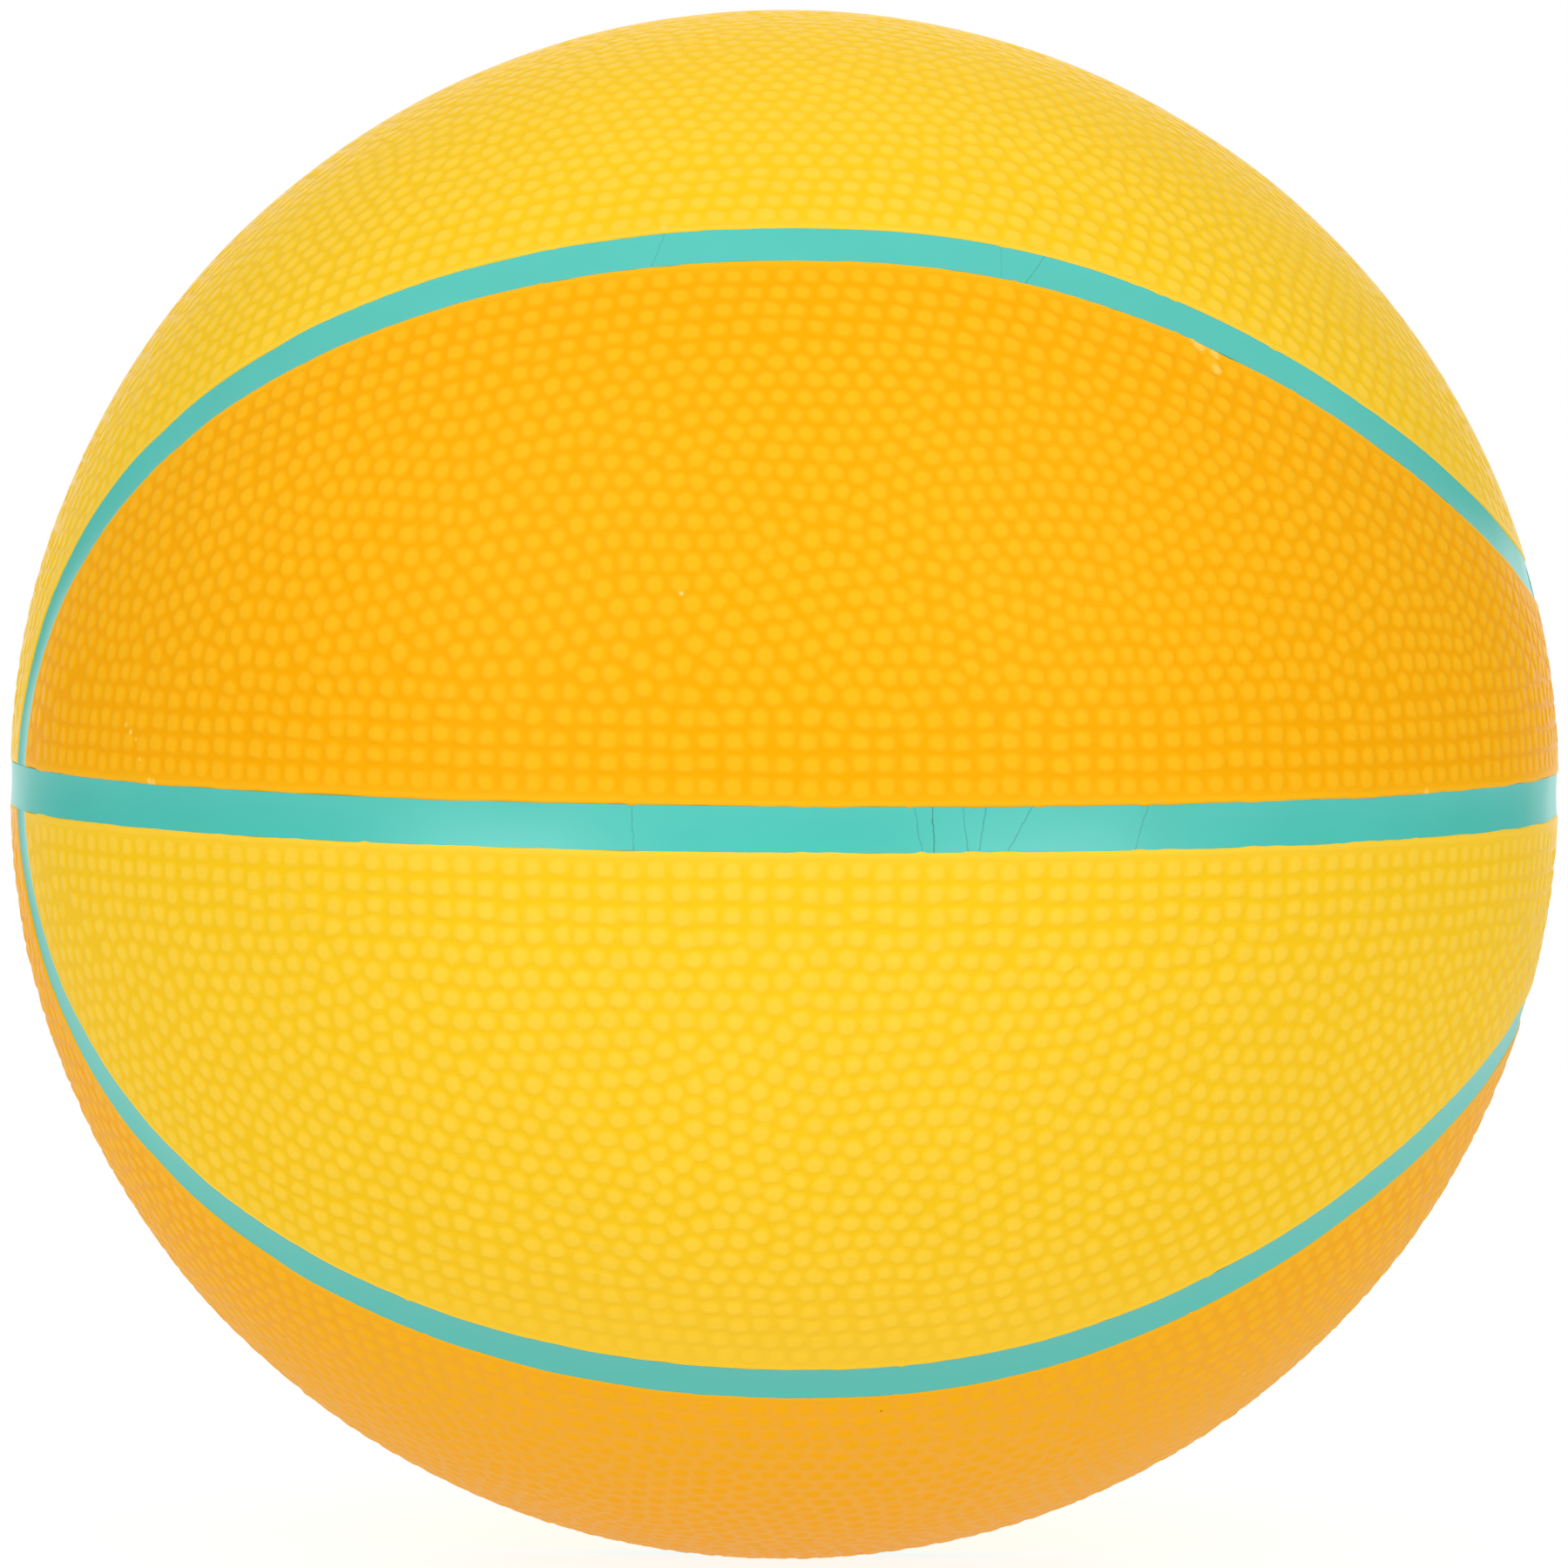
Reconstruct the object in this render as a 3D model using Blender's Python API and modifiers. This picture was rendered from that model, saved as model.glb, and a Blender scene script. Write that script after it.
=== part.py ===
"""A moulded rubber basketball, mini size, as it is layered in the factory.

From the inside out: air bladder with its needle valve, wound thread layer, two carcass halves, and the cover
of eight panels with seam strips let in between them. Metres, +Z up, origin at the ball's centre.
The front of the ball is -Y. The equator seam lies level and the meridian seam stands in the XZ plane. On the
front and on the back a loop seam rises from the equator at its left and ends on the meridian at its right.
"""

import math

import bmesh
import bpy
from mathutils import Vector

# Ball and its layers
BALL_DIAMETER = 0.178
COVER_THICKNESS = 0.0014
CARCASS_THICKNESS = 0.0007
WINDING_THICKNESS = 0.0004
BLADDER_THICKNESS = 0.0007
BOND_GAP = 0.0003

# Seams: width from panel edge to panel edge, how deep the strip lies, and how far its middle is hollowed
SEAM_WIDTH = 0.0047
SEAM_DEPTH = 0.0002
SEAM_HOLLOW = 0.0003
JOINT_GAP = 0.0003
PANEL_EDGE_ROUND = 0.0004

# Loop seam, in degrees: its height above the equator, what its left end leaves free before the meridian, and
# the height at which its right end meets the meridian. A greater taper draws an end in, and a greater lean
# keeps the right half high for longer
LOOP_HALF_HEIGHT_DEG = 45.0
LEFT_MARGIN_DEG = 12.7
LEFT_TAPER = 1.08
RIGHT_END_HEIGHT_DEG = 15.5
RIGHT_LEAN = 1.27
RIGHT_TAPER = 1.78

# Needle valve
NECK_DIAMETER = 0.0090
VALVE_RECESS = 0.0004
FLANGE_DIAMETER = 0.0260
FLANGE_THICKNESS = 0.0010
BOSS_DIAMETER = 0.0110
BOSS_LENGTH = 0.0100
CORE_DIAMETER = 0.0044
CORE_HEAD_DIAMETER = 0.0056
CORE_HEAD_THICKNESS = 0.0008
CORE_BULB_DIAMETER = 0.0068
CORE_BULB_LENGTH = 0.0030
NEEDLE_HOLE_DIAMETER = 0.0018
NEEDLE_HOLE_DEPTH = 0.0080
NEEDLE_MOUTH_DEPTH = 0.0006
VALVE_CLEARANCE = 0.0002

# Facet counts
PANEL_COLUMNS = 22
PANEL_ROWS = 6
STRIP_ROWS = 2
EQUATOR_STEPS = 48
MERIDIAN_STEPS = 24
LOOP_STEPS = 22
SHELL_FREQUENCY = 6
HOUSING_STEPS = 20
CORE_STEPS = 16
FLANGE_ARC_STEPS = 3

# Shading and working values
SMOOTH_ANGLE_DEG = 30.0
PANEL_ROUGHNESS = 0.5
STRIP_ROUGHNESS = 0.45
CARCASS_ROUGHNESS = 0.8
WINDING_ROUGHNESS = 0.9
BLADDER_ROUGHNESS = 0.7
VALVE_ROUGHNESS = 0.6
HALVINGS = 40
TANGENT_STEP = 1e-4
WELD_DISTANCE = 1e-6
# The longest facet of a geodesic shell against an even share of the icosahedron's edge
LONGEST_FACET = 1.2
GRID_HALF = 0.5

# Colours seen on the ball, and those usual inside it
YELLOW = (0.92, 0.62, 0.05, 1.0)
ORANGE = (0.95, 0.43, 0.02, 1.0)
TEAL = (0.10, 0.52, 0.47, 1.0)
BUTYL_BLACK = (0.02, 0.02, 0.02, 1.0)
CARCASS_GREY = (0.12, 0.12, 0.12, 1.0)
THREAD_WHITE = (0.72, 0.70, 0.62, 1.0)
CORE_BROWN = (0.30, 0.16, 0.07, 1.0)

# Derived sizes
BALL_RADIUS = BALL_DIAMETER / 2
COVER_INNER_RADIUS = BALL_RADIUS - COVER_THICKNESS
HALF_SEAM = SEAM_WIDTH / 2
HALF_SEAM_ANGLE = HALF_SEAM / BALL_RADIUS
STRIP_WIDTH = SEAM_WIDTH - 2 * JOINT_GAP
LOOP_HALF_HEIGHT = math.radians(LOOP_HALF_HEIGHT_DEG)
LEFT_LENGTH = math.radians(90.0 - LEFT_MARGIN_DEG)
RIGHT_END_HEIGHT = math.radians(RIGHT_END_HEIGHT_DEG)
RIGHT_LENGTH = math.pi / 2


def facet_dip(radius, along, across):
    """How far the middle of a flat facet lies inside the sphere through its corners."""
    return radius * (1 - math.cos(math.hypot(along, across) / 2))


# The share of a panel's round edge that its grid's rows take at a corner
SHOULDER_SHARE = PANEL_ROWS / (PANEL_COLUMNS + PANEL_ROWS)
PANEL_CELL_LENGTH = (LEFT_LENGTH + RIGHT_LENGTH) / PANEL_COLUMNS
PANEL_CELL_HEIGHT = max(LOOP_HALF_HEIGHT, math.pi / 2 - LOOP_HALF_HEIGHT) / PANEL_ROWS
PANEL_DIP = facet_dip(COVER_INNER_RADIUS, PANEL_CELL_LENGTH, PANEL_CELL_HEIGHT)
CARCASS_RADIUS = COVER_INNER_RADIUS - PANEL_DIP - BOND_GAP
WINDING_RADIUS = CARCASS_RADIUS - CARCASS_THICKNESS - BOND_GAP
BLADDER_RADIUS = WINDING_RADIUS - WINDING_THICKNESS - BOND_GAP
BLADDER_INNER_RADIUS = BLADDER_RADIUS - BLADDER_THICKNESS
# An edge of the icosahedron spans 63.4 degrees and is cut into SHELL_FREQUENCY facets
SHELL_FACET = math.atan(2.0) / SHELL_FREQUENCY * LONGEST_FACET
SHELL_DIP = facet_dip(BLADDER_INNER_RADIUS, SHELL_FACET, SHELL_FACET * math.sqrt(1 / 3))

# The valve stands in the middle of the upper panel inside the back loop
VALVE_TILT = math.pi / 2 - LOOP_HALF_HEIGHT / 2
VALVE_FACE = BALL_RADIUS - VALVE_RECESS
FLANGE_RADIUS_OF_CURVE = BLADDER_INNER_RADIUS - SHELL_DIP - BOND_GAP


def direction(azimuth, elevation):
    """Unit vector at an azimuth from the front towards +X and an elevation above the equator."""
    return Vector(
        (
            math.cos(elevation) * math.sin(azimuth),
            -math.cos(elevation) * math.cos(azimuth),
            math.sin(elevation),
        )
    )


def azimuth_of(point):
    return math.atan2(point.x, -point.y)


def loop_point(turn):
    """Centre line of the front loop, from its left end at turn 0, over the top, to the meridian at pi."""
    if turn < math.pi / 2:
        rise = math.copysign(abs(math.sin(turn)) ** LEFT_TAPER, math.sin(turn))
        return direction(-LEFT_LENGTH * math.cos(turn), LOOP_HALF_HEIGHT * rise)
    azimuth = turn - math.pi / 2
    fall = math.cos(math.pi / 2 * (azimuth / RIGHT_LENGTH) ** RIGHT_LEAN)
    rise = math.copysign(abs(fall) ** RIGHT_TAPER, fall)
    return direction(azimuth, RIGHT_END_HEIGHT + (LOOP_HALF_HEIGHT - RIGHT_END_HEIGHT) * rise)


def loop_edge(turn, distance):
    """The point that lies this distance outside the loop's centre line, or inside it if negative."""
    centre = loop_point(turn)
    ahead = loop_point(turn + TANGENT_STEP) - loop_point(turn - TANGENT_STEP)
    outwards = centre.cross(ahead).normalized()
    angle = distance / BALL_RADIUS
    return centre * math.cos(angle) + outwards * math.sin(angle)


def loop_foot(distance, end, height_over_seam):
    """The turn at which that edge of the loop meets the seam it ends on, found by halving."""
    low = end
    high = math.pi / 2
    for _ in range(HALVINGS):
        middle = (low + high) / 2
        if height_over_seam(loop_edge(middle, distance)) < math.sin(HALF_SEAM_ANGLE):
            low = middle
        else:
            high = middle
    return high


def loop_span(distance):
    """The turns at which that edge of the loop leaves the equator seam and reaches the meridian seam."""
    start = loop_foot(distance, 0.0, lambda point: point.z)
    end = loop_foot(distance, math.pi, lambda point: -point.y)
    return start, end


def loop_between(share, distance, first, last):
    """A point of a loop edge, the given share of the way between two turns."""
    return loop_edge(first + share * (last - first), distance)


def meridian_start(distance):
    """The angle over the equator at which the line beside the meridian leaves the equator seam."""
    return math.asin(math.sin(HALF_SEAM_ANGLE) / math.cos(distance / BALL_RADIUS))


def meridian_edge(share, distance):
    """A point beside the upper half of the meridian seam, which runs from left to right over the top."""
    angle = distance / BALL_RADIUS
    start = meridian_start(distance)
    turn = start + share * (math.pi - 2 * start)
    along = Vector((-math.cos(turn), 0.0, math.sin(turn)))
    return along * math.cos(angle) + Vector((0.0, -math.sin(angle), 0.0))


def share_of_meridian(point, distance):
    """The share of the way along the meridian edge at which a point on its right half lies."""
    start = meridian_start(distance)
    turn = math.pi - math.asin(point.z / math.cos(distance / BALL_RADIUS))
    return (turn - start) / (math.pi - 2 * start)


def equator_edge(share, first, last):
    """A point along the panels' upper edge at the equator seam, between two azimuths."""
    return direction(first + share * (last - first), HALF_SEAM_ANGLE)


def coons_patch(bottom, top, left, right):
    """A surface spanned by four edges that meet at their ends, projected on the ball's outer sphere."""

    def surface(u, v):
        ruled = bottom(u) * (1 - v) + top(u) * v + left(v) * (1 - u) + right(v) * u
        corners = (bottom(0) * (1 - u) + bottom(1) * u) * (1 - v)
        corners += (top(0) * (1 - u) + top(1) * u) * v
        return (ruled - corners).normalized() * BALL_RADIUS

    return surface


def inner_panel_surface():
    """The field inside the loop: one edge on the equator, two on the loop and a short one on the meridian."""
    start, end = loop_span(-HALF_SEAM)
    shoulder = start + (end - start) * SHOULDER_SHARE
    left = azimuth_of(loop_edge(start, -HALF_SEAM))
    right = azimuth_of(meridian_edge(1, HALF_SEAM))
    top = share_of_meridian(loop_edge(end, -HALF_SEAM), HALF_SEAM)
    return coons_patch(
        lambda u: equator_edge(u, left, right),
        lambda u: loop_between(u, -HALF_SEAM, shoulder, end),
        lambda v: loop_between(v, -HALF_SEAM, start, shoulder),
        lambda v: meridian_edge(1 + v * (top - 1), HALF_SEAM),
    )


def outer_panel_surface():
    """The field between the loop and the meridian seam, with a short end at the left on the equator."""
    start, end = loop_span(HALF_SEAM)
    left = azimuth_of(loop_edge(start, HALF_SEAM))
    far = azimuth_of(meridian_edge(0, HALF_SEAM))
    foot = share_of_meridian(loop_edge(end, HALF_SEAM), HALF_SEAM)
    shoulder = foot * (1 - SHOULDER_SHARE)
    return coons_patch(
        lambda u: loop_between(u, HALF_SEAM, start, end),
        lambda u: meridian_edge(u * shoulder, HALF_SEAM),
        lambda v: equator_edge(v, left, far),
        lambda v: meridian_edge(foot + v * (shoulder - foot), HALF_SEAM),
    )


def channel_radius(v):
    """Radius of a strip's hollowed face, from one edge at 0 to the other at 1."""
    return BALL_RADIUS - SEAM_DEPTH - SEAM_HOLLOW * (1 - (2 * v - 1) ** 2)


def across_strip(v):
    return (2 * v - 1) * STRIP_WIDTH / 2


def equator_strip_surface(u, v):
    return direction(2 * math.pi * u, across_strip(v) / BALL_RADIUS) * channel_radius(v)


def meridian_strip_surface(u, v):
    return meridian_edge(u, across_strip(v)) * channel_radius(v)


def loop_strip_surface(u, v):
    distance = across_strip(v)
    start, end = loop_span(distance)
    return loop_between(u, distance, start, end) * channel_radius(v)


def put_in_quarter(surface, depth_sign, height_sign):
    """The surface on another quarter: depth_sign -1 turns it to the back, height_sign -1 mirrors it below."""

    def placed(u, v):
        point = surface(u, v)
        return Vector((point.x * depth_sign, point.y * depth_sign, point.z * height_sign))

    return placed


def new_object(name, mesh_data, collection):
    obj = bpy.data.objects.new(name, mesh_data)
    collection.objects.link(obj)
    return obj


def finish(obj, colour, roughness):
    """Gives a piece its own rubber or thread material."""
    material = bpy.data.materials.new(obj.name)
    material.use_nodes = True
    shader = material.node_tree.nodes["Principled BSDF"]
    shader.inputs["Base Color"].default_value = colour
    shader.inputs["Roughness"].default_value = roughness
    shader.inputs["Metallic"].default_value = 0.0
    obj.data.materials.append(material)


def object_from(work, name, collection):
    """Turns a working mesh into a smooth-shaded object."""
    mesh_data = bpy.data.meshes.new(name)
    work.to_mesh(mesh_data)
    work.free()
    mesh_data.shade_smooth()
    mesh_data.set_sharp_from_angle(angle=math.radians(SMOOTH_ANGLE_DEG))
    return new_object(name, mesh_data, collection)


def draw_inwards(work):
    """Thickens an outer face towards the ball's centre, down to the cover's inner radius."""
    drawn = bmesh.ops.extrude_face_region(work, geom=work.faces[:])["geom"]
    for item in drawn:
        if isinstance(item, bmesh.types.BMVert):
            item.co = item.co.normalized() * COVER_INNER_RADIUS
    bmesh.ops.recalc_face_normals(work, faces=work.faces[:])


def laid_grid(surface, columns, rows):
    """A grid laid over a surface that is given by shares along and across."""
    work = bmesh.new()
    bmesh.ops.create_grid(work, x_segments=columns, y_segments=rows, size=GRID_HALF)
    for vertex in work.verts:
        along = (vertex.co.x / GRID_HALF + 1) / 2
        across = (vertex.co.y / GRID_HALF + 1) / 2
        vertex.co = surface(along, across)
    bmesh.ops.remove_doubles(work, verts=work.verts[:], dist=WELD_DISTANCE)
    return work


def make_panel(name, surface, colour, collection):
    work = laid_grid(surface, PANEL_COLUMNS, PANEL_ROWS)
    rim = [edge for edge in work.edges if edge.is_boundary]
    draw_inwards(work)
    bmesh.ops.bevel(work, geom=rim, offset=PANEL_EDGE_ROUND, segments=1, affect="EDGES")
    panel = object_from(work, name, collection)
    finish(panel, colour, PANEL_ROUGHNESS)
    return panel


def make_strip(name, surface, steps, collection):
    work = laid_grid(surface, steps, STRIP_ROWS)
    draw_inwards(work)
    strip = object_from(work, name, collection)
    finish(strip, TEAL, STRIP_ROUGHNESS)


def make_cover(collection):
    """Eight panels in two colours, which swap across the equator and from front to back, and the strips."""
    quarters = (
        ("front_upper", 1, 1, ORANGE, YELLOW),
        ("front_lower", 1, -1, YELLOW, ORANGE),
        ("back_upper", -1, 1, YELLOW, ORANGE),
        ("back_lower", -1, -1, ORANGE, YELLOW),
    )
    inner = inner_panel_surface()
    outer = outer_panel_surface()
    panels = {}
    for quarter, depth_sign, height_sign, inner_colour, outer_colour in quarters:
        for kind, surface, colour in (("inner", inner, inner_colour), ("outer", outer, outer_colour)):
            name = f"{quarter}_{kind}_panel"
            placed = put_in_quarter(surface, depth_sign, height_sign)
            panels[name] = make_panel(name, placed, colour, collection)
        loop = put_in_quarter(loop_strip_surface, depth_sign, height_sign)
        make_strip(f"{quarter}_loop_strip", loop, LOOP_STEPS, collection)
    make_strip("equator_strip", equator_strip_surface, EQUATOR_STEPS, collection)
    for half, height_sign in (("upper", 1), ("lower", -1)):
        meridian = put_in_quarter(meridian_strip_surface, 1, height_sign)
        make_strip(f"{half}_meridian_strip", meridian, MERIDIAN_STEPS, collection)
    return panels


def geodesic_sphere(radius):
    """A sphere of even triangles: an icosahedron with each face cut into a triangular grid."""
    work = bmesh.new()
    bmesh.ops.create_icosphere(work, subdivisions=1, radius=1.0)
    cuts = SHELL_FREQUENCY - 1
    bmesh.ops.subdivide_edges(work, edges=work.edges[:], cuts=cuts, use_grid_fill=True)
    for vertex in work.verts:
        vertex.co = vertex.co.normalized() * radius
    return work


def thicken(obj, thickness):
    wall = obj.modifiers.new("wall", "SOLIDIFY")
    wall.thickness = thickness
    wall.offset = -1.0


def cut_with(obj, cutter):
    cut = obj.modifiers.new("valve_hole", "BOOLEAN")
    cut.operation = "DIFFERENCE"
    cut.solver = "EXACT"
    cut.object = cutter


def make_shell(name, radius, thickness, collection):
    shell = object_from(geodesic_sphere(radius), name, collection)
    thicken(shell, thickness)
    return shell


def make_carcass_half(name, depth_sign, collection):
    """One half of the rubber carcass. The two meet under the meridian seam."""
    work = geodesic_sphere(CARCASS_RADIUS)
    everything = work.verts[:] + work.edges[:] + work.faces[:]
    edge_of_half = Vector((0.0, -depth_sign * JOINT_GAP / 2, 0.0))
    kept_side = Vector((0.0, -depth_sign, 0.0))
    bmesh.ops.bisect_plane(
        work, geom=everything, dist=WELD_DISTANCE, plane_co=edge_of_half, plane_no=kept_side, clear_inner=True
    )
    half = object_from(work, name, collection)
    thicken(half, CARCASS_THICKNESS)
    finish(half, CARCASS_GREY, CARCASS_ROUGHNESS)
    return half


def stand_on_valve_axis(obj):
    """Turns a piece so that its own +Z points out of the ball through the valve."""
    obj.rotation_euler = (-VALVE_TILT, 0.0, 0.0)


def turned(name, profile, is_ring, steps, collection):
    """A profile of radius and height, turned about the valve's axis."""
    work = bmesh.new()
    points = [work.verts.new((radius, 0.0, height)) for radius, height in profile]
    for first, second in zip(points, points[1:]):
        work.edges.new((first, second))
    if is_ring:
        work.edges.new((points[-1], points[0]))
    obj = object_from(work, name, collection)
    spin = obj.modifiers.new("turn", "SCREW")
    spin.steps = steps
    spin.render_steps = steps
    spin.use_merge_vertices = True
    spin.merge_threshold = WELD_DISTANCE
    spin.use_smooth_shade = True
    stand_on_valve_axis(obj)
    return obj


def flange_arc(radius_of_curve, outer, inner):
    """Points of a flange face that follows the bladder, from the outer radius to the inner one."""
    points = []
    for step in range(FLANGE_ARC_STEPS + 1):
        radius = outer + (inner - outer) * step / FLANGE_ARC_STEPS
        points.append((radius, math.sqrt(radius_of_curve**2 - radius**2)))
    return points


def make_valve_housing(collection):
    """The moulded seat: a flange inside the bladder, a neck out through the wall and a boss inwards."""
    neck = NECK_DIAMETER / 2
    boss = BOSS_DIAMETER / 2
    flange = FLANGE_DIAMETER / 2
    bore = CORE_DIAMETER / 2 + VALVE_CLEARANCE
    seat = CORE_HEAD_DIAMETER / 2 + VALVE_CLEARANCE
    seat_floor = VALVE_FACE - CORE_HEAD_THICKNESS - VALVE_CLEARANCE
    boss_end = FLANGE_RADIUS_OF_CURVE - FLANGE_THICKNESS - BOSS_LENGTH
    outside = flange_arc(FLANGE_RADIUS_OF_CURVE, flange, neck)
    inside = flange_arc(FLANGE_RADIUS_OF_CURVE - FLANGE_THICKNESS, flange, boss)
    profile = [(neck, VALVE_FACE)] + outside[::-1] + inside
    profile += [(boss, boss_end), (bore, boss_end), (bore, seat_floor)]
    profile += [(seat, seat_floor), (seat, VALVE_FACE)]
    housing = turned("valve_housing", profile, True, HOUSING_STEPS, collection)
    finish(housing, BUTYL_BLACK, VALVE_ROUGHNESS)


def make_valve_core(collection):
    """The soft plug that closes on the needle: a head in the seat, a stem and a bulb behind the boss."""
    stem = CORE_DIAMETER / 2
    head = CORE_HEAD_DIAMETER / 2
    bulb = CORE_BULB_DIAMETER / 2
    hole = NEEDLE_HOLE_DIAMETER / 2
    boss_end = FLANGE_RADIUS_OF_CURVE - FLANGE_THICKNESS - BOSS_LENGTH
    bulb_top = boss_end - VALVE_CLEARANCE
    profile = [
        (0.0, VALVE_FACE - NEEDLE_HOLE_DEPTH),
        (hole, VALVE_FACE - NEEDLE_HOLE_DEPTH),
        (hole, VALVE_FACE - NEEDLE_MOUTH_DEPTH),
        (hole + NEEDLE_MOUTH_DEPTH, VALVE_FACE),
        (head, VALVE_FACE),
        (head, VALVE_FACE - CORE_HEAD_THICKNESS),
        (stem, VALVE_FACE - CORE_HEAD_THICKNESS),
        (stem, bulb_top),
        (bulb, bulb_top),
        (bulb, bulb_top - CORE_BULB_LENGTH / 2),
        (stem, bulb_top - CORE_BULB_LENGTH),
        (0.0, bulb_top - CORE_BULB_LENGTH),
    ]
    core = turned("valve_core", profile, False, CORE_STEPS, collection)
    finish(core, CORE_BROWN, VALVE_ROUGHNESS)


def make_valve_cutter(collection):
    """A long rod that opens the wall for the valve's neck, with clearance at its flats too."""
    radius = (NECK_DIAMETER / 2 + VALVE_CLEARANCE) / math.cos(math.pi / HOUSING_STEPS)
    work = bmesh.new()
    bmesh.ops.create_cone(
        work,
        cap_ends=True,
        segments=HOUSING_STEPS,
        radius1=radius,
        radius2=radius,
        depth=BALL_RADIUS,
    )
    bmesh.ops.translate(work, verts=work.verts[:], vec=(0.0, 0.0, BALL_RADIUS))
    cutter = object_from(work, "valve_hole_cutter", collection)
    cutter.hide_render = True
    cutter.display_type = "WIRE"
    stand_on_valve_axis(cutter)
    return cutter


def new_collection(name):
    collection = bpy.data.collections.new(name)
    bpy.context.scene.collection.children.link(collection)
    return collection


def main():
    for obj in list(bpy.data.objects):
        bpy.data.objects.remove(obj)
    ball = new_collection("basketball")
    cutter = make_valve_cutter(new_collection("cutters"))
    panels = make_cover(ball)
    make_carcass_half("front_carcass_half", 1, ball)
    back_half = make_carcass_half("back_carcass_half", -1, ball)
    winding = make_shell("thread_winding", WINDING_RADIUS, WINDING_THICKNESS, ball)
    finish(winding, THREAD_WHITE, WINDING_ROUGHNESS)
    bladder = make_shell("air_bladder", BLADDER_RADIUS, BLADDER_THICKNESS, ball)
    finish(bladder, BUTYL_BLACK, BLADDER_ROUGHNESS)
    for wall in (panels["back_upper_inner_panel"], back_half, winding, bladder):
        cut_with(wall, cutter)
    make_valve_housing(ball)
    make_valve_core(ball)


main()
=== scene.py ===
"""Looks of the mini rubber basketball: pebbled panels, seam strips, valve, camera and light."""

import math

import bpy
import numpy as np
from mathutils import Matrix, Vector, kdtree


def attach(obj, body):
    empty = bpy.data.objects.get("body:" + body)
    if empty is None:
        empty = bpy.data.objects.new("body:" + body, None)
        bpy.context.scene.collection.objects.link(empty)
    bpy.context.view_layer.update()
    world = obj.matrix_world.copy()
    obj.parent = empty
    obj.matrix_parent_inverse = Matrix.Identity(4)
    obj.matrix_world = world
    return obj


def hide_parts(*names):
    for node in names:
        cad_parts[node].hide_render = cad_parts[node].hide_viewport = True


# Sizes of the ball in metres, as in the CAD
BALL_RADIUS = 0.089
COVER_INNER_RADIUS = 0.0876
SEAM_WIDTH = 0.0047
STRIP_OVERLAP = 0.0003
SEAM_DEPTH = 0.00018
SEAM_HOLLOW = 0.00014
LOOP_HALF_HEIGHT = math.radians(45.0)
LEFT_LENGTH = math.radians(77.3)
LEFT_TAPER = 1.08
RIGHT_END_HEIGHT = math.radians(15.5)
RIGHT_LEAN = 1.27
RIGHT_TAPER = 1.78
HALF_SEAM = SEAM_WIDTH / 2
HALF_SEAM_ANGLE = HALF_SEAM / BALL_RADIUS
VALVE_AXIS = np.array((0.0, math.cos(LOOP_HALF_HEIGHT / 2), math.sin(LOOP_HALF_HEIGHT / 2)))
VALVE_HOLE_RADIUS = 0.0047
VALVE_RING_RADIUS = 0.0085
VALVE_RING_FADE = 0.8
VALVE_EDGE_FALL = 0.0006
VALVE_RIM_REACH = 1.5
TANGENT_STEP = 1e-4
SHOULDER_SHARE = 0.21

# Samples along the curves
SPAN_SAMPLES = 30001
LOOP_SAMPLES = 2400
ROW_SAMPLES = 4000

# Grids: cells along and across each piece
INNER_GRID = (500, 184)
OUTER_GRID = (590, 156)
EQUATOR_GRID = (1200, 14)
MERIDIAN_GRID = (600, 12)
LOOP_GRID = (700, 12)
GATHER_ALONG = 0.25
GATHER_ACROSS = 0.4
BACK_FACES = 3000
DOUBLES_LIMIT = 0.000001
STRIP_SMOOTH_ANGLE = math.radians(40.0)
HIDDEN_MARGIN = 0.00002

# Texture columns of the hidden and the shown faces: where each starts and how wide it is
HIDDEN_COLUMN = (0.001, 0.005)
SHOWN_COLUMN = (0.012, 0.988)

# Pebbles in metres
ROW_START = 0.00225
ROW_STEP = 0.00246
ROW_JITTER = 0.00009
ALONG_STEP = 0.00274
FIXED_ROWS = 5
CELL_AREA = 6.1e-6
PEBBLE_SPACING = math.sqrt(CELL_AREA * 2 / math.sqrt(3))
PEBBLE_RADIUS = 0.00126
PEBBLE_RISE = 0.00012
PEBBLE_SLOPE = 0.00056
PEBBLE_VALLEY = 0.00010
PEBBLE_TILT = 0.09
PEBBLE_UNEVEN = 0.00007
PEBBLE_BLEND = 0.00018
PEBBLE_SIZES = (0.94, 1.06)
PEBBLE_HEIGHTS = (0.86, 1.08)
DOME_POWER = 2.2
EDGE_RELIEF = 0.55
EDGE_FADE = (0.0015, 0.007)
DEPTH_RANGE = (-0.002, 0.004)
SNAP_SHARE = 0.20

# Packing of the pebbles
ROW_TOLERANCE = 0.0003
ROW_CLEARANCE = 0.00225
FIELD_TOLERANCE = 0.0004
SCATTERED_POINTS = 60000
NEIGHBOURS = 13
ROUNDS_PER_SEARCH = 4
RELAX_ROUNDS = 90
RELAX_REACH = 1.12
RELAX_PUSH = 0.36

# Waves in the rubber: wavelength and height in metres, and seed
OUTLINE_WAVE = (0.0024, PEBBLE_UNEVEN, 9)
LONG_EDGE_WAVE = (0.011, 0.00006, 3)
SHORT_EDGE_WAVE = (0.0026, 0.00003, 4)
PANEL_WAVE = (0.022, 0.00004, 5)
STRIP_WAVE = (0.012, 0.00003, 11)
WAVE_COUNT = 14

# Panel edges in metres
LIP_WIDTH = 0.00100
LIP_DROP = 0.00030
LIP_CREST = 0.5
LIP_END = 2.2
BEAD_HEIGHT = 0.62
# The bead takes the pebbles' painted shade: paler on its crest, deeper at its foot
BEAD_TONE = (0.56, -0.12)
VALVE_RING_TONE = 0.4

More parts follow.
